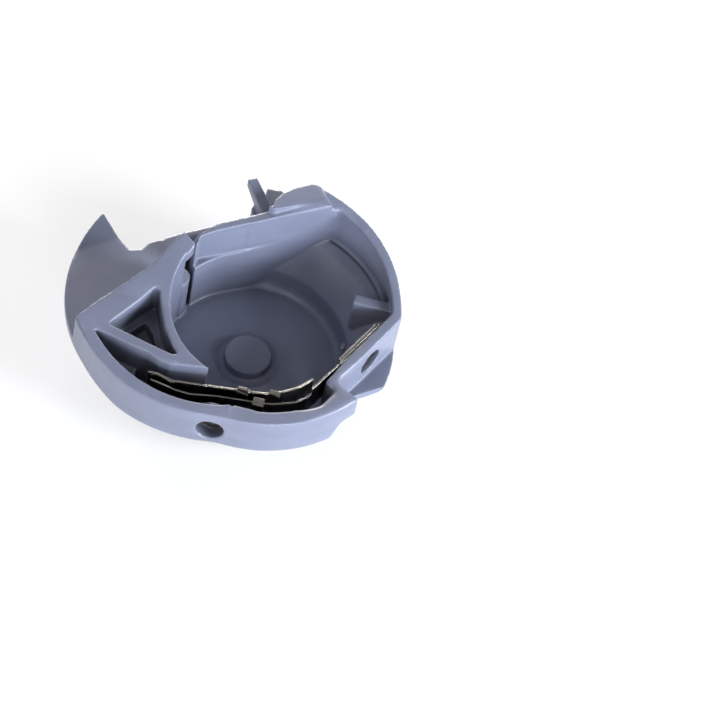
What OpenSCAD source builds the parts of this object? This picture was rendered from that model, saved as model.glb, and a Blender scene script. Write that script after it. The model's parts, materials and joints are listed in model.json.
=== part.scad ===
// Drop-in bobbin case for a horizontal rotary hook.
// Origin: on the bobbin axis, at the flat underside. +Z is the bobbin axis.
// The thread side with the leaf springs faces -Y, the hook finger is at -X.

/* [Cup] */
// Radius of the flat floor that the bobbin turns on
floor_r = 10.85; // [10.7:0.05:11.0]
// Thickness of the cup's floor
floor_t = 1.0; // [0.8:0.1:1.2]
// Outer radius of the cup, which sits in the hook
cup_r = 13.1; // [12.9:0.1:13.1]
// Rounding under the cup
cup_round = 2.8; // [2:0.1:2.8]
// Radius of the spigot that centres the bobbin
spigot_r = 2.85; // [2.6:0.05:2.95]
// Height of the spigot above the floor
spigot_h = 1.3; // [1:0.1:1.5]

/* [Flange] */
// Height of the flange's underside
flange_z = 4.2; // [4:0.1:4.4]
// Outer radius of the main wall
rim_r = 16.4; // [16.2:0.1:16.6]
// Thickness of the main wall
rim_wall = 1.8; // [1.6:0.1:1.9]
// Outer radius of the thread wing
wing_r = 18.0; // [17.9:0.05:18.1]
// Thickness of the side wall, from the facet round to the back
side_wall = 1.1; // [1.0:0.1:1.4]
// Thickness of the thread wing's wall
wing_wall = 1.5; // [1.4:0.1:1.6]
// Height of the front wall's top edge
front_h = 10.6; // [10.4:0.1:10.8]
// Highest point of the back wall
back_h = 15.5; // [15.2:0.1:15.8]
// Top of the ledge behind the web
ledge_z = 7.6; // [7.4:0.1:7.8]

/* [Web] */
// Radius of the web's edge along the bobbin
web_r = 10.25; // [10.2:0.01:10.3]
// Floor of the web's triangular window
window_z = 6.9; // [6.7:0.1:7.2]
// Thickness of the thread guide wall behind the bobbin
guide_wall = 1.35; // [1.2:0.05:1.5]

/* [Springs] */
// Thickness of the leaf springs
leaf_t = 0.25; // [0.2:0.01:0.3]
// Bottom of the tension blade
blade_z = 6.3; // [6.2:0.1:6.5]
// Height of the tension blade
blade_h = 3.2; // [2.8:0.1:3.4]
// Bottom of the guard spring
guard_z = 7.3; // [7.2:0.1:7.5]
// Height of the guard spring
guard_h = 3.0; // [2.6:0.1:3.1]

/* [Screws] */
// Radius of the screw holes' mouths
mouth_r = 1.65; // [1.6:0.01:1.7]
// Height of the screws' axes
screw_z = 7.5; // [7.4:0.05:7.6]
// Radius of the tension screw's thread
tension_r = 1.0; // [0.95:0.01:1.05]
// Radius of the fixing screw's thread
fixing_r = 0.9; // [0.85:0.01:0.95]

/* [Hidden] */
$fn = 96;
eps = 0.01;
clear = 0.03;
// Centres of the main wall and of the wing's wall
rim_c = [0.7, 1.2];
wing_c = [-5.1, 2.4];
flange_round = 1.1;
// The direction that the bridging flat faces, and its distance from the bobbin axis
wall_gap = wing_c - rim_c;
flat_az = atan2(wall_gap[1], wall_gap[0]) + acos((rim_r - wing_r) / norm(wall_gap));
flat_along = [-sin(flat_az), cos(flat_az)];
flat_n = rim_c * [cos(flat_az), sin(flat_az)] + rim_r - 0.02;
top_z = 20;
// The facet: a flat cut into the right wall, seen along its own normal
facet_az = -27.3;
facet_out = 13.05;
facet_in = 11.75;
facet_ledge_z = 5.2;
facet_step_s = -0.47;
facet_inner_s = -1.6;
facet_len = 12;
fixing_s = 6.24;
fixing_head_n = 12.15;
fixing_tip_n = 10.5;
clamp_z = 5.9;
clamp_t = 0.5;
tab_t = 0.3;
// The tension screw points along +Y into the case
tension_x = -1.8;
tension_seat_y = -13.8;
tension_head_y = -14.1;
insert_out_y = -13.85;
insert_in_y = -12.9;
insert_r = 1.5;
tension_tip_y = -11.95;
boss_r = 2.3;
slot_w = 0.45;
// Height where the shelf beside the bobbin meets the right wall
shelf_z = 8.5;
pocket_z = 5.5;
wing_pocket_z = 7.3;
// The guide wall runs in this direction; its inner face is thinned above a crease
guide_az = 28.7;
guide_n = web_r + 0.1;
crease_step = 0.3;
// Width of the thread slit beside the hook finger
slit_w = 0.8;
slit_az = 148.5;
// Underside of the hook finger, which hangs over the slit
finger_z = 12.8;
// Height of the springs' raised ends beside the facet
spring_top_z = 10.7;
// The direction of the arm behind the guide wall
arm_az = 121;
// The tension blade bends at this neck
neck = [10.91, -4.04];

// ---- shared shapes ----

// A section from x0 out to x1 with a rounded lower corner at x1
module rounded_section(x0, x1, z0, z1, round_r) {
    translate([x0, z0 + round_r]) square([x1 - x0, z1 - z0 - round_r]);
    translate([x0, z0]) square([x1 - x0 - round_r, round_r + eps]);
    translate([x1 - round_r, z0 + round_r]) circle(r = round_r);
}

// A disc with a rounded lower edge
module rounded_disc(r, z0, z1, round_r) {
    rotate_extrude() rounded_section(0, r, z0, z1, round_r);
}

// The flat that bridges the main wall and the wing's wall at the front
module front_flat() {
    rim_y = rim_c * flat_along;
    wing_y = wing_c * flat_along;
    rotate(flat_az) translate([0, rim_y, 0]) rotate([90, 0, 0]) linear_extrude(rim_y - wing_y)
        rounded_section(flat_n - 4, flat_n, flange_z + 0.2, top_z, flange_round);
}

// The part of the plan that the thread wing takes
module wing_zone() {
    polygon([[-30, -30], [6, -30], [6, -4], [-8, 8], [-30, 14]]);
}

// Both walls' outline, moved in by one thickness each
module wall_plan(rim_in, wing_in) {
    translate(rim_c) circle(r = rim_r - rim_in);
    intersection() {
        translate(wing_c) circle(r = wing_r - wing_in);
        wing_zone();
    }
}

// Where the flange ends at the back, with the pointed fin at the left
module back_edge_plan() {
    polygon([
        [20, -20], [20, 20], [-1, 20], [-3.2, 16.6], [-7.1, 14.1], [-11.7, 11.1],
        [-14.8, 8.8], [-15.5, 7.5], [-16.9, 7.0], [-17.8, 7.7], [-21.0, 10.6], [-26, 10.2], [-26, -20]
    ]);
}

// A tall prism from a height profile in the YZ plane
module yz_prism(profile, x0, x1) {
    translate([x0, 0, 0]) rotate([90, 0, 90]) linear_extrude(x1 - x0) polygon(profile);
}

// Places children in the facet's frame: X along its normal, Y along the facet
module on_facet() {
    rotate([0, 0, facet_az]) children();
}

// The side-to-side direction of a line of points at point i, long enough for a mitred corner
function across(p, i) =
    let (
        last = len(p) - 1,
        d0 = p[max(i, 1)] - p[max(i, 1) - 1],
        d1 = p[min(i + 1, last)] - p[min(i + 1, last) - 1],
        n0 = [-d0[1], d0[0]] / norm(d0),
        n1 = [-d1[1], d1[0]] / norm(d1),
        m = n0 + n1
    ) m / (m * n0);

// A thin upright leaf along a line of points
module leaf(p, z0, h, t) {
    last = len(p) - 1;
    translate([0, 0, z0]) linear_extrude(h) polygon(concat(
        [for (i = [0 : last]) p[i] + across(p, i) * t / 2],
        [for (i = [last : -1 : 0]) p[i] - across(p, i) * t / 2]
    ));
}

// ---- the moulded case ----

// The web, with the slot's edge in front and the thread edge behind
module web_plan() {
    difference() {
        polygon([
            [-3.1, -9.3], [-3.6, -9.6], [-8.1, -10.3], [-9.5, -10.1], [-10.9, -9.5], [-13.2, -9.1], [-15.8, -8.5],
            [-17.7, -8.2], [-18.4, -9.3], [-20, -12], [-26, -12], [-26, 10], [-10.6, 6.2],
            [-9.6, 6.2], [-9.0, 5.6], [-8.9, 4.7], [-9.6, 3.0], [-7, 0], [-3.2, -8]
        ]);
        intersection() {
            circle(r = web_r);
            translate([-15, -15]) square([20, 18.6]);
        }
    }
}

// Everything behind the guide wall's inner face
module guide_back_plan() {
    difference() {
        polygon([
            [-8.35, 5.5], [-9.4, 6.6], [-9.4, 20], [16, 20], [5.3, 14.7], [-5.02, 9.05], [-7, 5.5]
        ]);
        circle(r = web_r + 0.1);
    }
}

// The space above the ledge: outside the web, the hook finger and the guide wall
module ledge_plan() {
    difference() {
        polygon([
            [-21.4, -9.6], [-19.8, -6.7], [-18.0, -4.1], [-15.2, -0.9], [-13.4, 1.2], [-12.5, 2.8],
            [-11.4, 4.8], [-10.5, 6.1], [-9.8, 6.5], [-8, 7], [-2, 10], [4, 14.5], [2.4, 17.2],
            [2.4, 20], [-26, 20], [-26, -9.6]
        ]);
        circle(r = web_r + 0.1 + guide_wall);
        rotate(guide_az) translate([-2, 4]) square([14, guide_n - 4 + guide_wall]);
        polygon([[-1.3, 12], [-1.2, 13.6], [-0.5, 14.9], [0.6, 16.1], [2.4, 17.4], [8, 20], [8, 12]]);
    }
    // Slit between the hook finger and the guide wall, where the thread slips in
    rotate(slit_az) translate([9, -slit_w / 2]) square([4, slit_w]);
}

// The ledge's space, with the fin's raised tip left standing and the notch under the finger
module ledge_space() {
    difference() {
        translate([0, 0, ledge_z]) linear_extrude(top_z) ledge_plan();
        translate([-22.5, 5.2, ledge_z]) rotate(38.5) yz_prism([[0, -1], [6, -1], [6, 1.8], [0, 0]], -4, 9);
    }
    translate([0, 0, ledge_z]) linear_extrude(finger_z - ledge_z) rotate(slit_az) translate([9, -slit_w / 2])
        square([4.5, 2.3]);
}

// The open space above the shelf, the springs and the bobbin
module cavity_plan() {
    difference() {
        union() {
            wall_plan(rim_wall, wing_wall);
            intersection() {
                translate(rim_c) circle(r = rim_r - side_wall);
                polygon([[0, 6], [9, 0], [20, 0], [20, 20], [0, 20]]);
            }
        }
        web_plan();
        guide_back_plan();
        on_facet() translate([facet_in, facet_inner_s]) square([8, 16]);
        on_facet() translate([13.5, -4.5]) square([4, 6]);
    }
}

// The cavity's section: bobbin floor, thread groove, then the sloping shelf
module cavity_section() {
    rotate_extrude() polygon([
        [0, floor_t], [floor_r, floor_t], [floor_r + 0.5, floor_t + 0.35], [floor_r + 0.75, floor_t + 1],
        [floor_r + 0.85, 3.2], [floor_r + 0.95, 4.0], [15.0, 7.7], [16.3, shelf_z], [20, shelf_z + 0.2],
        [20, top_z], [0, top_z]
    ]);
}

// A prism from a profile along the guide wall, n0 to n1 away from the bobbin axis
module along_guide(n0, n1) {
    rotate(guide_az) translate([0, n1, 0]) rotate([90, 0, 0]) linear_extrude(n1 - n0) children();
}

// The bobbin well, the shelf, and the pockets that the springs stand in
module inside_spaces() {
    intersection() {
        linear_extrude(top_z) cavity_plan();
        cavity_section();
    }
    translate([0, 0, pocket_z]) linear_extrude(top_z) intersection() {
        cavity_plan();
        translate([-12, -20]) square([23.2, 13]);
    }
    // Room for the spring's end and its clamp plate along the facet wall
    on_facet() translate([facet_in - 1.2, facet_inner_s, clamp_z - 0.2]) cube([1.2, 11.6, top_z]);
    // Groove at the foot of the side wall
    intersection() {
        translate([rim_c[0], rim_c[1], shelf_z - 0.3]) rotate_extrude() translate([14.75, 0]) square([0.4, 2]);
        linear_extrude(top_z) intersection() {
            cavity_plan();
            polygon([[2, 6.7], [20, 6.7], [20, 20], [2, 20]]);
        }
    }
    // The pocket gets shallow where it runs into the wing
    translate([0, 0, wing_pocket_z]) linear_extrude(top_z) intersection() {
        cavity_plan();
        translate([-20, -20]) square([10, 13]);
    }
}

// The outside of the case before anything is cut from it
module outer_shape() {
    rounded_disc(cup_r, 0, flange_z + 1.5, cup_round);
    intersection() {
        union() {
            translate([rim_c[0], rim_c[1], 0]) rounded_disc(rim_r, flange_z, top_z, flange_round);
            intersection() {
                translate([wing_c[0], wing_c[1], 0]) rounded_disc(wing_r, flange_z, top_z, flange_round);
                linear_extrude(top_z) wing_zone();
            }
            front_flat();
        }
        linear_extrude(top_z) back_edge_plan();
        // The wing's underside rises towards its tip
        translate([0, 30, 0]) rotate([90, 0, 0]) linear_extrude(60) polygon([
            [-30, 6.4], [-18.4, 6.3], [-12.8, 4.8], [-7, flange_z - 0.2], [20, flange_z - 0.2],
            [20, top_z + 1], [-30, top_z + 1]
        ]);
        union() {
            yz_prism([[-20, 0], [-20, 10.4], [-14, 10.7], [-9.5, 11.6], [-3, 12.3], [0.5, 13.4],
                [6.5, back_h - 0.2], [20, back_h], [20, 0]], -30, 0);
            yz_prism([[-20, 0], [-20, front_h], [-7, front_h], [0, 10.9], [4, 11.2], [7, 12], [9, 12.7],
                [11, 13.2], [15, 14.2], [18, 15.4], [20, 15.4], [20, 0]], 0, 20);
            linear_extrude(back_h) polygon([[-2, 10], [-2, 20], [3.8, 20], [3.8, 17], [6, 14.5], [3, 10]]);
        }
    }
}

// The space over the guide wall, whose top edge climbs from the slit to the back wall
module above_guide_wall() {
    intersection() {
        along_guide(8.4, 12) polygon([
            [-7, 10.4], [-5, 12.3], [-4, 13.2], [-2.3, 13.7], [0, 13.95], [3, 14.25], [6.2, 14.8],
            [10, 15.25], [12, 15.4], [12, 30], [-7, 30]
        ]);
        linear_extrude(40) intersection() {
            rotate(slit_az) translate([-2, -24]) square([20, 24]);
            rotate(guide_az) polygon([[-12, 0], [14, 0], [14, 11.1], [5, 11.1], [4, 11.9], [-12, 11.9]]);
        }
    }
}

// The step in the guide wall's inner face, above a crease that climbs to the right
module above_crease() {
    intersection() {
        along_guide(0, 20) polygon([[-7, 8.5], [0, 8.6], [5, 9.2], [9, 10.8], [12, 12.4], [12, 30], [-7, 30]]);
        linear_extrude(top_z) intersection() {
            union() {
                rotate(guide_az + 90) translate([0, -2]) square([guide_n + crease_step, 8.4]);
                rotate(guide_az) polygon([[0, 4], [9.6, 4], [9.6, guide_n - 0.02], [0, guide_n + crease_step]]);
                circle(r = guide_n + crease_step);
            }
            polygon([[-8.9, 5.4], [-6, 2], [8, 9], [8, 16], [-8, 14]]);
            rotate(guide_az) translate([-9, -4]) square([18.6, 30]);
        }
    }
}

// The triangular window in the web, with its stepped floor
module web_window() {
    shallow = window_z + 1.5;
    translate([0, 0, shallow]) linear_extrude(top_z) polygon([
        [-16.1, -6.9], [-15.9, -7.2], [-8.1, -9.0], [-7.6, -8.8], [-8.5, -7.7], [-9.9, -5.6],
        [-10.9, -3.2], [-11.6, -1.3], [-12.1, -1.1]
    ]);
    translate([0, 0, window_z]) linear_extrude(top_z)
        polygon([[-15.0, -6.9], [-9.6, -8.2], [-11.2, -4.8], [-12.3, -3.4]]);
}

// The flat arm that reaches back from the guide wall, on its gusset
module back_arm() {
    hull() {
        translate([-1.1, 12.5, 10.6]) rotate(arm_az) translate([0, -0.8, 0]) cube([0.3, 1.6, 2.2]);
        translate([-4.5, 16.8, 12.8]) rotate(arm_az) translate([0, -0.6, 0]) cube([0.3, 1.2, 1.2]);
    }
    hull() {
        translate([-2.4, 12.6, ledge_z - 0.5]) cylinder(r = 0.7, h = 4, $fn = 32);
        translate([-3.5, 14.4, ledge_z - 0.5]) cylinder(r = 0.4, h = 4.6, $fn = 32);
    }
    translate([0, 0, ledge_z - 0.5]) linear_extrude(4.9)
        polygon([[-2.6, 12.2], [-2.7, 17.7], [-0.8, 17.8], [0.8, 16.4], [-0.5, 12.8]]);
}

// Cuts for the tension screw: mouth, seat for its insert and thread clearance
module tension_bore() {
    translate([tension_x, -20, screw_z]) rotate([-90, 0, 0]) cylinder(r = mouth_r, h = 20 + tension_seat_y);
    translate([tension_x, insert_out_y, screw_z]) rotate([-90, 0, 0]) cylinder(r = insert_r, h = 2);
}

// Cuts for the fixing screw: mouth and shank hole
module fixing_bore() {
    on_facet() translate([0, fixing_s, screw_z]) rotate([0, 90, 0]) {
        translate([0, 0, fixing_head_n]) cylinder(r = mouth_r, h = 6);
        translate([0, 0, 10]) cylinder(r = fixing_r + 0.2, h = 6);
    }
}

module case_body() {
    color("lightsteelblue") difference() {
        union() {
            difference() {
                outer_shape();
                // Bobbin well, shelf and spring pockets, clear of the insert's boss and a ridge
                difference() {
                    inside_spaces();
                    translate([tension_x, insert_in_y, screw_z]) rotate([90, 0, 0]) cylinder(r = boss_r, h = 3);
                    translate([0.3, -15.1, floor_t]) cube([2.6, 2, top_z]);
                }
                above_crease();
                ledge_space();
                above_guide_wall();
                web_window();
                // Undercut below the stopper, where the flange tapers away
                on_facet() linear_extrude(7.0)
                    polygon([[15.7, 5.8], [14.3, 3.0], [13.2, -0.3], [16.4, -3.2], [20, -3], [20, 6]]);
                on_facet() translate([13.2, -0.3, 7]) rotate(-42) rotate([-28, 0, 0])
                    translate([-1, 0, -6]) cube([9, 6, 6]);
                // Flat facet around the fixing screw
                on_facet() translate([facet_out, facet_step_s, facet_ledge_z]) cube([8, facet_len, top_z]);
            }
            back_arm();
            // Rib across the shelf
            translate([10.7, 5.2, 5]) cube([5, 1.4, 5.5]);
            // Small locating post beside the clamp plate
            translate([10.6, 0, floor_t - 0.1]) cube([0.6, 0.9, 7.3]);
            translate([0, 0, floor_t - 0.3]) cylinder(r = spigot_r, h = spigot_h + 0.3);
        }
        tension_bore();
        fixing_bore();
        // Shallow groove round the spigot
        translate([0, 0, floor_t - 0.15]) rotate_extrude()
            polygon([[spigot_r, 0], [3.7, 0], [4.1, 0.3], [spigot_r, 0.3]]);
    }
}

// ---- hardware ----

// Brass bush, moulded into the front wall, that the tension screw turns in
module thread_insert() {
    color("goldenrod") translate([tension_x, 0, screw_z]) rotate([-90, 0, 0]) difference() {
        translate([0, 0, insert_out_y]) cylinder(r = insert_r, h = insert_in_y - insert_out_y);
        translate([0, 0, insert_out_y - 1]) cylinder(r = tension_r + clear, h = 4);
    }
}

// Headless screw that sets the thread tension by pressing on the blade
module tension_screw() {
    color("dimgray") translate([tension_x, 0, screw_z]) rotate([-90, 0, 0]) difference() {
        union() {
            translate([0, 0, tension_head_y]) cylinder(r = tension_r, h = 1.85);
            translate([0, 0, tension_head_y + 1]) cylinder(r = 0.6, h = tension_tip_y - tension_head_y - 1);
        }
        translate([-2, -slot_w / 2, tension_head_y - 0.5]) cube([4, slot_w, 1.0]);
    }
}

// Threaded plate that clamps the spring's end to the facet wall
module clamp_plate() {
    color("slategray") on_facet() difference() {
        translate([facet_in - tab_t - clamp_t - 0.02, 2.2, clamp_z]) cube([clamp_t, 6.8, 4.5]);
        translate([8, fixing_s, screw_z]) rotate([0, 90, 0]) cylinder(r = fixing_r + clear, h = 6);
    }
}

// Clamped end of the tension spring; the blade bends from its free edge
module spring_tab() {
    color("slategray") on_facet() difference() {
        translate([facet_in - tab_t - 0.01, 1.6, clamp_z]) cube([tab_t, 7.6, spring_top_z - clamp_z]);
        translate([8, fixing_s, screw_z]) rotate([0, 90, 0]) cylinder(r = fixing_r + 0.2, h = 6);
    }
}

// Slotted screw that holds the spring's end and the clamp plate
module fixing_screw() {
    color("dimgray") on_facet() translate([0, fixing_s, screw_z]) rotate([0, 90, 0]) difference() {
        union() {
            translate([0, 0, fixing_tip_n]) cylinder(r = fixing_r, h = 2);
            translate([0, 0, fixing_head_n]) cylinder(r = mouth_r - 0.1, h = 0.45);
        }
        translate([-2, -slot_w / 2, fixing_head_n + 0.25]) cube([4, slot_w, 1]);
    }
}

// Free length of the tension spring, along the inside of the front wall
module tension_blade() {
    color("darkslategray") {
        leaf([neck, [9.9, -5.9], [9.0, -7.6], [8.2, -8.9], [6.9, -10.1], [4.6, -11.0], [2.6, -11.3],
            [-1.8, -11.75], [-5.0, -12.4], [-6.8, -12.3], [-8.6, -11.95], [-9.9, -11.7]],
            blade_z, blade_h, leaf_t);
        // The blade is taller where it leaves its clamped end
        leaf([neck, [9.9, -5.9], [9.0, -7.6], [8.6, -8.3]], blade_z + 1, spring_top_z - 0.1 - blade_z - 1, leaf_t);
        // Bent tab over the front wall's inner ridge
        translate([2.3, -12.2, blade_z + 1.6]) cube([1.3, 1.1, 2.3]);
    }
}

// Guard spring that keeps the thread in the slot, clipped over the tension blade
module guard_spring() {
    color("slategray") {
        leaf([[-10.35, -11.3], [-9.2, -11.2], [-7.4, -11.7], [-1.0, -10.95], [0.2, -10.75], [1.9, -10.6],
            [3.6, -10.3], [5.4, -9.5], [7.0, -8.4], [7.8, -7.55], [8.45, -6.65]], guard_z, guard_h, leaf_t);
        // Bent tab that hooks over the top of the blade
        translate([0.2, -11.0, guard_z + 1.4]) cube([1.35, 0.35, 2.2]);
        translate([3.9, -10.3, guard_z + 2.3]) cube([1.3, 0.55, 0.9]);
    }
}

case_body();
thread_insert();
tension_screw();
clamp_plate();
spring_tab();
fixing_screw();
tension_blade();
guard_spring();
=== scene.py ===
import json
import math
from collections import namedtuple

import bmesh
import bpy
from mathutils import Matrix, Vector


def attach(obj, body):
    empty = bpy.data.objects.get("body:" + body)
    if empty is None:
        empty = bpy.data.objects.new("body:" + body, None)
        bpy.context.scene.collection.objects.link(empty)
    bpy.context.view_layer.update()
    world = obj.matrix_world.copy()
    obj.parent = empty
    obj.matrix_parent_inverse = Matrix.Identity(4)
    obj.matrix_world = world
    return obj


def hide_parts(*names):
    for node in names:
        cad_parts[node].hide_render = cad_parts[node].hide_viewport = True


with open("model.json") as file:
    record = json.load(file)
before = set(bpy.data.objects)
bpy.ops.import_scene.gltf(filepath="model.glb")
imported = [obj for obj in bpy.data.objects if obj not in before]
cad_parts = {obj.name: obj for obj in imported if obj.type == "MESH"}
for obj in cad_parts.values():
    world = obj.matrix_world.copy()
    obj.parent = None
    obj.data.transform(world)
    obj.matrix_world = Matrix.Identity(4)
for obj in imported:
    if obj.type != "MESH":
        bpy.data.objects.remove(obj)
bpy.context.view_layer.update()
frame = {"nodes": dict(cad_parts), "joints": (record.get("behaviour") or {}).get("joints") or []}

MM = 0.001
NODES = frame["nodes"]
scene = bpy.context.scene


# ---- helpers ----

def link(obj):
    scene.collection.objects.link(obj)
    return obj


def shade_smooth(obj):
    for poly in obj.data.polygons:
        poly.use_smooth = True


def mesh_object(name, bm, smooth_angle=35):
    """A new object from a bmesh in metres; edges sharper than the angle in degrees stay hard."""
    mesh = bpy.data.meshes.new(name)
    bm.to_mesh(mesh)
    bm.free()
    obj = link(bpy.data.objects.new(name, mesh))
    shade_smooth(obj)
    mesh.set_sharp_from_angle(angle=math.radians(smooth_angle))
    return obj


def modify(obj, kind, **settings):
    """Replaces the object's mesh by what one modifier makes of it."""
    modifier = obj.modifiers.new(kind, kind)
    for key, value in settings.items():
        setattr(modifier, key, value)
    graph = bpy.context.evaluated_depsgraph_get()
    mesh = bpy.data.meshes.new_from_object(obj.evaluated_get(graph))
    obj.modifiers.clear()
    obj.data = mesh


# ---- materials ----

# Where the Mix node keeps its colours
MIX_FIRST = 6
MIX_SECOND = 7
MIX_RESULT = 2

PLASTIC_DARK = (0.140, 0.157, 0.225)
PLASTIC_LIGHT = (0.166, 0.185, 0.262)
# Lighter on sharp edges: rubbed wear and a painted highlight
PLASTIC_RUBBED_AND_HIGHLIT = (0.19, 0.21, 0.29)
# Painted shade, mixed into the plastic in its recesses
PLASTIC_PAINTED_SHADE = (0.035, 0.035, 0.045)
BRASS_DARK = (0.16, 0.11, 0.05)
BRASS_LIGHT = (0.30, 0.21, 0.10)
# Painted shade, mixed into the metal parts in their recesses
METAL_PAINTED_SHADE = (0.02, 0.02, 0.022)
FLOOR_DARK = (0.39, 0.39, 0.39)
FLOOR_LIGHT = (0.41, 0.41, 0.41)
FLOOR_GLOW = (0.97, 0.98, 1.0, 1)

# How far away a surface can be and still paint shade into a recess
PLASTIC_RECESS = 4.5 * MM
METAL_RECESS = 3 * MM

# The height of the finest grain and drawn lines, and of the moulding's waves
FINE_RELIEF = 0.02 * MM
WAVE_RELIEF = 0.12 * MM


class Nodes:
    """A material and short ways to add and join its shader nodes."""

    def __init__(self, name):
        self.material = bpy.data.materials.new(name)
        self.material.use_nodes = True
        self.tree = self.material.node_tree
        self.shader = self.tree.nodes["Principled BSDF"]
        self.position = self.add("ShaderNodeTexCoord").outputs["Object"]

    def add(self, kind, **settings):
        node = self.tree.nodes.new(kind)
        for key, value in settings.items():
            setattr(node, key, value)
        return node

    def join(self, out, socket):
        self.tree.links.new(out, socket)

    def feed(self, name, out):
        """Joins an output to the shader's input of that name."""
        self.join(out, self.shader.inputs[name])

    def fix(self, name, value):
        """Gives the shader's input of that name a plain value."""
        self.shader.inputs[name].default_value = value

    def noise(self, scale, detail=3.0, stretch=(1, 1, 1)):
        mapping = self.add("ShaderNodeMapping")
        mapping.inputs["Scale"].default_value = stretch
        self.join(self.position, mapping.inputs["Vector"])
        node = self.add("ShaderNodeTexNoise")
        node.inputs["Scale"].default_value = scale
        node.inputs["Detail"].default_value = detail
        self.join(mapping.outputs["Vector"], node.inputs["Vector"])
        return node.outputs["Fac"]

    def span(self, value, low, high, start=0.3, end=0.7):
        """Goes from low to high while the value goes from start to end."""
        node = self.add("ShaderNodeMapRange")
        node.inputs["From Min"].default_value = start
        node.inputs["From Max"].default_value = end
        node.inputs["To Min"].default_value = low
        node.inputs["To Max"].default_value = high
        self.join(value, node.inputs["Value"])
        return node.outputs["Result"]

    def mix(self, factor, first, second):
        """Blends two colours, each a node's output or three numbers."""
        node = self.add("ShaderNodeMix", data_type="RGBA")
        self.join(factor, node.inputs["Factor"])
        for index, value in ((MIX_FIRST, first), (MIX_SECOND, second)):
            if hasattr(value, "is_linked"):
                self.join(value, node.inputs[index])
            else:
                node.inputs[index].default_value = (*value, 1)
        return node.outputs[MIX_RESULT]

    def bump(self, height, strength, distance, normal=None):
        node = self.add("ShaderNodeBump")
        node.inputs["Strength"].default_value = strength
        node.inputs["Distance"].default_value = distance
        self.join(height, node.inputs["Height"])
        if normal is not None:
            self.join(normal, node.inputs["Normal"])
        return node.outputs["Normal"]

    def recess(self, reach):
        """Near 1 deep in a recess and 0 in the open, where painted shade goes."""
        node = self.add("ShaderNodeAmbientOcclusion", samples=8)
        node.inputs["Distance"].default_value = reach
        return self.span(node.outputs["AO"], 0.85, 0, 0.15, 0.75)

    def edges(self, low, high):
        """Near 1 on sharp outer edges and 0 elsewhere."""
        pointed = self.add("ShaderNodeNewGeometry").outputs["Pointiness"]
        return self.span(pointed, 0, 1, low, high)


def moulded_plastic():
    """Blue-grey moulded plastic with fine grain, faint flow marks, rubbed edges with a painted
    highlight, and painted shade in its recesses.
    """
    m = Nodes("case_plastic")
    flow = m.noise(160, 4, (1, 1, 2.5))
    body = m.mix(m.span(flow, 0, 1), PLASTIC_DARK, PLASTIC_LIGHT)
    # Sharp edges get lighter: rubbed wear and a painted highlight
    worn_and_highlit = m.mix(m.edges(0.53, 0.62), body, PLASTIC_RUBBED_AND_HIGHLIT)
    # Painted shade darkens the plastic in its recesses
    m.feed("Base Color", m.mix(m.recess(PLASTIC_RECESS), worn_and_highlit, PLASTIC_PAINTED_SHADE))
    m.feed("Roughness", m.span(m.noise(420), 0.34, 0.44))
    grain = m.bump(m.noise(9000, 2), 0.18, FINE_RELIEF)
    m.feed("Normal", m.bump(m.noise(260, 2), 0.10, WAVE_RELIEF, grain))
    m.fix("Specular IOR Level", 0.5)
    m.fix("Coat Weight", 0.2)
    m.fix("Coat Roughness", 0.25)
    return m.material


def steel(name, dark, light, rough, stretch=(1, 1, 1)):
    """Polished steel with stains, painted shade in its recesses and fine drawn lines along one
    direction.
    """
    m = Nodes(name)
    lines = m.noise(900, 5, stretch)
    stain = m.noise(240, 4)
    tone = m.mix(m.span(lines, 0, 1), dark, light)
    stained = m.mix(m.span(stain, 0, 0.5, 0.5, 0.8), tone, dark)
    # Painted shade darkens the steel in its recesses
    m.feed("Base Color", m.mix(m.recess(METAL_RECESS), stained, METAL_PAINTED_SHADE))
    m.feed("Roughness", m.span(stain, rough, rough + 0.16))
    m.feed("Normal", m.bump(lines, 0.15, FINE_RELIEF))
    m.fix("Metallic", 1.0)
    return m.material


def brass():
    """Aged brass with turning marks round its axis and painted shade in its recesses."""
    m = Nodes("insert_brass")
    lines = m.noise(2600, 3, (0.3, 3, 0.3))
    tone = m.mix(m.span(lines, 0, 1), BRASS_DARK, BRASS_LIGHT)
    # Painted shade darkens the brass in its recesses
    m.feed("Base Color", m.mix(m.recess(METAL_RECESS), tone, METAL_PAINTED_SHADE))
    m.feed("Roughness", m.span(m.noise(600), 0.25, 0.42))
    m.feed("Normal", m.bump(lines, 0.2, FINE_RELIEF))
    m.fix("Metallic", 1.0)
    return m.material


def pale_floor():
    m = Nodes("floor")
    m.feed("Base Color", m.mix(m.span(m.noise(3), 0, 1), FLOOR_DARK, FLOOR_LIGHT))
    m.fix("Roughness", 0.9)
    m.fix("Emission Color", FLOOR_GLOW)
    m.fix("Emission Strength", 0.55)
    return m.material


# Squeezes the noise so that the springs' drawn lines run along their strips
ALONG_STRIP = (0.3, 0.3, 4)

PLASTIC = moulded_plastic()
SPRING = steel("spring_steel", (0.26, 0.25, 0.24), (0.56, 0.54, 0.51), 0.14, ALONG_STRIP)
GUARD = steel("guard_steel", (0.36, 0.34, 0.31), (0.72, 0.69, 0.62), 0.12, ALONG_STRIP)
SCREW = steel("screw_steel", (0.05, 0.05, 0.055), (0.16, 0.16, 0.17), 0.3)
PLATE = steel("plate_steel", (0.25, 0.25, 0.25), (0.45, 0.45, 0.44), 0.3)
BRASS = brass()


def paint(obj, material):
    obj.data.materials.clear()
    obj.data.materials.append(material)


def finish_piece(obj, node, body, material):
    """The piece stands for a CAD node, moves with its body and has its finish."""
    paint(obj, material)
    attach(obj, body)
    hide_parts(node)


# ---- parts with rounded edges ----

# Corners of the CAD mesh closer than this are one corner, in metres
WELD_DISTANCE = 1e-6

# Places that are rounded more, in mm
SoftSpot = namedtuple("SoftSpot", "centre radius rounds")
STOPPER_CORNER = SoftSpot((12.0, -8.6, 9.8), 5.5, 160)
HUMP_TOP = SoftSpot((5.0, 15.0, 15.0), 5.0, 60)


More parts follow.
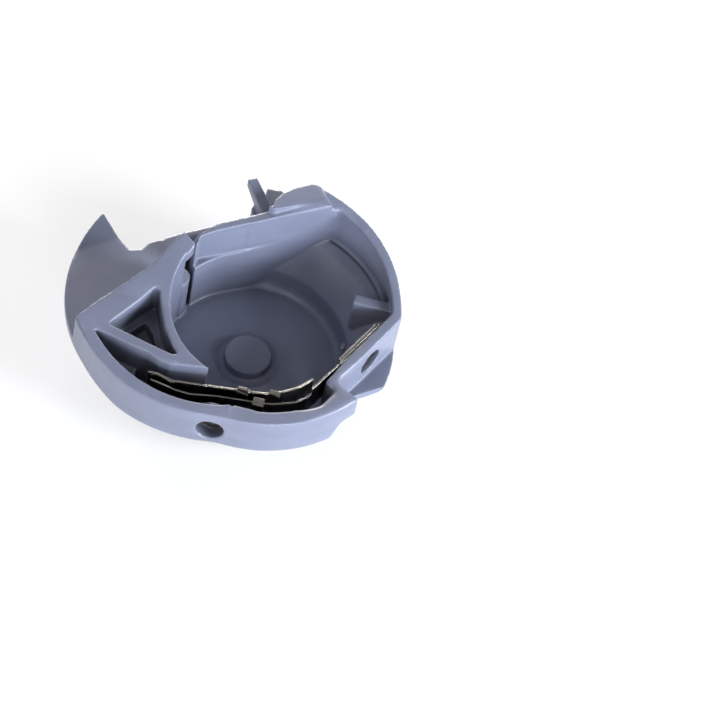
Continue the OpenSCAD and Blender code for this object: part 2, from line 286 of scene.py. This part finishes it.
def copy_in_mm(node):
    """A copy of a CAD solid, scaled up so that the modifiers' sizes are in mm."""
    bm = bmesh.new()
    bm.from_mesh(NODES[node].data)
    bmesh.ops.remove_doubles(bm, verts=bm.verts, dist=WELD_DISTANCE)
    bmesh.ops.scale(bm, vec=(1 / MM,) * 3, verts=bm.verts)
    mesh = bpy.data.meshes.new(node + "_rounded")
    bm.to_mesh(mesh)
    bm.free()
    return link(bpy.data.objects.new(node + "_rounded", mesh))


def soften(obj, spot):
    """Rounds the mesh more around one spot, less and less towards its rim."""
    group = obj.vertex_groups.new(name="soft")
    for vertex in obj.data.vertices:
        share = 1 - (vertex.co - Vector(spot.centre)).length / spot.radius
        if share > 0:
            group.add([vertex.index], min(1, 2 * share), "REPLACE")
    modify(obj, "SMOOTH", factor=0.5, iterations=spot.rounds, vertex_group="soft")
    obj.vertex_groups.clear()


def rounded_copy(node, body, material, voxel, rounds, most_faces, soft_spots=()):
    """Replaces a CAD solid by a copy with every edge rounded; the voxel is in mm."""
    obj = copy_in_mm(node)
    modify(obj, "REMESH", mode="VOXEL", voxel_size=voxel, use_smooth_shade=True)
    modify(obj, "SMOOTH", factor=0.5, iterations=rounds)
    for spot in soft_spots:
        soften(obj, spot)
    triangles = 2 * len(obj.data.polygons)
    if triangles > most_faces:
        modify(obj, "DECIMATE", ratio=most_faces / triangles)
    obj.data.transform(Matrix.Scale(MM, 4))
    shade_smooth(obj)
    finish_piece(obj, node, body, material)


# ---- screws ----

SLOT_WIDTH = 0.45 * MM
SLOT_DEPTH = 0.4 * MM
SLOT_LENGTH = 8 * MM
THREAD_PITCH = 0.4 * MM
THREAD_DEPTH = 0.16 * MM
CHAMFER = 0.12 * MM
HEAD_GAP = 0.08 * MM
POINT_SHARE = 0.6
SCREW_RINGS = 90
SCREW_SIDES = 56
SCREW_CREASE = 30


def joint(name):
    return next(row for row in frame["joints"] if row["name"] == name)


class Axis:
    """A screw's axis, with heights measured from its slotted end into the case."""

    def __init__(self, node, joint_name, inward):
        row = joint(joint_name)
        self.point = Vector(row["pos_m"])
        self.way = Vector(row["axis"]).normalized() * inward
        self.corners = [(self.height(v.co), self.radius(v.co)) for v in NODES[node].data.vertices]
        self.top = min(height for height, _ in self.corners)

    def height(self, co):
        return (co - self.point).dot(self.way)

    def radius(self, co):
        arm = co - self.point
        return (arm - self.way * arm.dot(self.way)).length

    def outer(self):
        return max(radius for _, radius in self.corners)

    def wide_length(self):
        """How far from the slotted end the screw keeps its full radius."""
        least = 0.9 * self.outer()
        return max(height for height, radius in self.corners if radius > least) - self.top

    def length(self):
        return max(height for height, _ in self.corners) - self.top

    def matrix(self):
        turn = self.way.to_track_quat("Z", "Y").to_matrix().to_4x4()
        return Matrix.Translation(self.point + self.way * self.top) @ turn


def turned(length, radius_at):
    """A closed turned shape along Z whose radius depends on height and angle."""
    bm = bmesh.new()
    rings = []
    for k in range(SCREW_RINGS + 1):
        height = length * k / SCREW_RINGS
        ring = []
        for i in range(SCREW_SIDES):
            angle = math.tau * i / SCREW_SIDES
            radius = radius_at(height, angle)
            ring.append(bm.verts.new((radius * math.cos(angle), radius * math.sin(angle), height)))
        rings.append(ring)
    for low, high in zip(rings, rings[1:]):
        for i in range(SCREW_SIDES):
            j = (i + 1) % SCREW_SIDES
            bm.faces.new((low[i], low[j], high[j], high[i]))
    bm.faces.new(list(reversed(rings[0])))
    bm.faces.new(rings[-1])
    return bm


def thread_radius(radius, height, angle):
    turn = (height / THREAD_PITCH - angle / math.tau) % 1
    return radius - THREAD_DEPTH * abs(2 * turn - 1)


def chamfered(radius, from_end):
    """The radius, less where it is closer to an end than the chamfer."""
    return radius - max(0, CHAMFER - from_end)


def slotted(name, bm, place):
    """Cuts the driver slot into the end at height 0 and puts the screw in place."""
    obj = mesh_object(name, bm, SCREW_CREASE)
    cutter_bm = bmesh.new()
    bmesh.ops.create_cube(cutter_bm, size=1)
    bmesh.ops.scale(cutter_bm, vec=(SLOT_LENGTH, SLOT_WIDTH, 2 * SLOT_DEPTH), verts=cutter_bm.verts)
    cutter = mesh_object(name + "_slot", cutter_bm)
    modify(obj, "BOOLEAN", operation="DIFFERENCE", object=cutter)
    bpy.data.objects.remove(cutter)
    obj.data.transform(place)
    return obj


def tension_screw():
    """Headless: threaded for most of its length, then a plain dog point."""
    axis = Axis("tension_screw", "tension_screw_turn", 1)
    outer = axis.outer()
    point_r = POINT_SHARE * outer
    threaded = axis.wide_length()
    length = axis.length()

    def radius_at(height, angle):
        if height < threaded:
            from_end = min(height, threaded - height)
            return min(thread_radius(outer, height, angle), chamfered(outer, from_end))
        return chamfered(point_r, length - height)

    obj = slotted("tension_screw_turned", turned(length, radius_at), axis.matrix())
    finish_piece(obj, "tension_screw", "tension_adjuster", SCREW)


def fixing_screw():
    """A flat head with a threaded shank."""
    axis = Axis("fixing_screw", "fixing_screw_turn", -1)
    head_r = axis.outer() - HEAD_GAP
    head = axis.wide_length()
    length = axis.length()
    past_head = axis.top + 1.2 * head
    shank_r = max(radius for height, radius in axis.corners if height > past_head)

    def radius_at(height, angle):
        if height < head:
            return chamfered(head_r, min(height, head - height))
        return min(thread_radius(shank_r, height, angle), chamfered(shank_r, length - height))

    obj = slotted("fixing_screw_turned", turned(length, radius_at), axis.matrix())
    finish_piece(obj, "fixing_screw", "spring_fixing", SCREW)


rounded_copy("case_body", "case", PLASTIC,
             voxel=0.12, rounds=13, most_faces=195000, soft_spots=(STOPPER_CORNER, HUMP_TOP))
rounded_copy("tension_blade", "blade", SPRING, voxel=0.05, rounds=3, most_faces=60000)
rounded_copy("guard_spring", "guard", GUARD, voxel=0.05, rounds=3, most_faces=60000)
rounded_copy("spring_tab", "case", SPRING, voxel=0.06, rounds=2, most_faces=30000)
rounded_copy("clamp_plate", "case", PLATE, voxel=0.07, rounds=2, most_faces=30000)
tension_screw()
fixing_screw()
paint(NODES["thread_insert"], BRASS)


# ---- floor, light and camera ----

FLOOR_HALF_SIZE = 3
WORLD_COLOR = (1.0, 0.98, 0.97, 1)
WORLD_STRENGTH = 0.25

# Angles in degrees, azimuth 0 in front and 90 at the right; distance and size in metres
Light = namedtuple("Light", "name azimuth elevation distance size watts color")
LIGHTS = (
    Light("key", 78, 22, 0.6, 0.3, 5.8, (0.95, 0.98, 1.04)),
    Light("front", 26, 8, 0.6, 0.2, 3.6, (0.93, 0.98, 1.05)),
    Light("left", -50, 8, 0.7, 0.3, 1.6, (1.04, 0.98, 0.92)),
    Light("rim", -165, 9, 0.7, 0.4, 10.5, (1.03, 0.98, 0.94)),
    Light("fill", -25, 50, 0.7, 0.4, 0.6, (1.0, 1.0, 1.0)),
)
LIGHT_AIM = Vector((0, 0, 8 * MM))

# The camera looks down at the case, which sits left of the picture's middle
VIEW_ELEVATION = math.radians(55)
VIEW_ROLL = math.radians(14)
VIEW_DISTANCE = 385.54 * MM
VIEW_AIM = Vector((0, 0, 1.0 * MM))
VIEW_SHIFT = 13.614 * MM
LENS_MM = 160
SENSOR_MM = 36
NEAREST_SEEN = 0.01


def floor():
    bm = bmesh.new()
    bmesh.ops.create_grid(bm, x_segments=1, y_segments=1, size=FLOOR_HALF_SIZE)
    obj = mesh_object("floor", bm)
    paint(obj, pale_floor())


def area_light(row):
    """A soft round light that points at the case."""
    azimuth = math.radians(row.azimuth)
    elevation = math.radians(row.elevation)
    way = Vector((
        math.sin(azimuth) * math.cos(elevation),
        -math.cos(azimuth) * math.cos(elevation),
        math.sin(elevation),
    ))
    light = bpy.data.lights.new(row.name, "AREA")
    light.shape = "DISK"
    light.size = row.size
    light.energy = row.watts
    light.color = row.color
    obj = link(bpy.data.objects.new(row.name, light))
    obj.location = way * row.distance + LIGHT_AIM
    obj.rotation_euler = way.to_track_quat("Z", "Y").to_euler()


def dim_world():
    world = bpy.data.worlds.new("studio")
    world.use_nodes = True
    background = world.node_tree.nodes["Background"]
    background.inputs["Color"].default_value = WORLD_COLOR
    background.inputs["Strength"].default_value = WORLD_STRENGTH
    scene.world = world


def camera():
    """Looks down from the front, rolled a little, through a long lens."""
    toward = Vector((0, -math.cos(VIEW_ELEVATION), math.sin(VIEW_ELEVATION)))
    level = Vector((1, 0, 0))
    rise = toward.cross(level)
    right = level * math.cos(VIEW_ROLL) + rise * math.sin(VIEW_ROLL)
    up = rise * math.cos(VIEW_ROLL) - level * math.sin(VIEW_ROLL)
    place = VIEW_AIM + right * VIEW_SHIFT + toward * VIEW_DISTANCE
    cam = bpy.data.cameras.new("camera")
    cam.sensor_width = SENSOR_MM
    cam.lens = LENS_MM
    cam.clip_start = NEAREST_SEEN
    obj = link(bpy.data.objects.new("camera", cam))
    axes = Matrix((right, up, toward)).transposed().to_4x4()
    obj.matrix_world = Matrix.Translation(place) @ axes
    scene.camera = obj


floor()
for light_row in LIGHTS:
    area_light(light_row)
dim_world()
scene.view_settings.view_transform = "Standard"
camera()
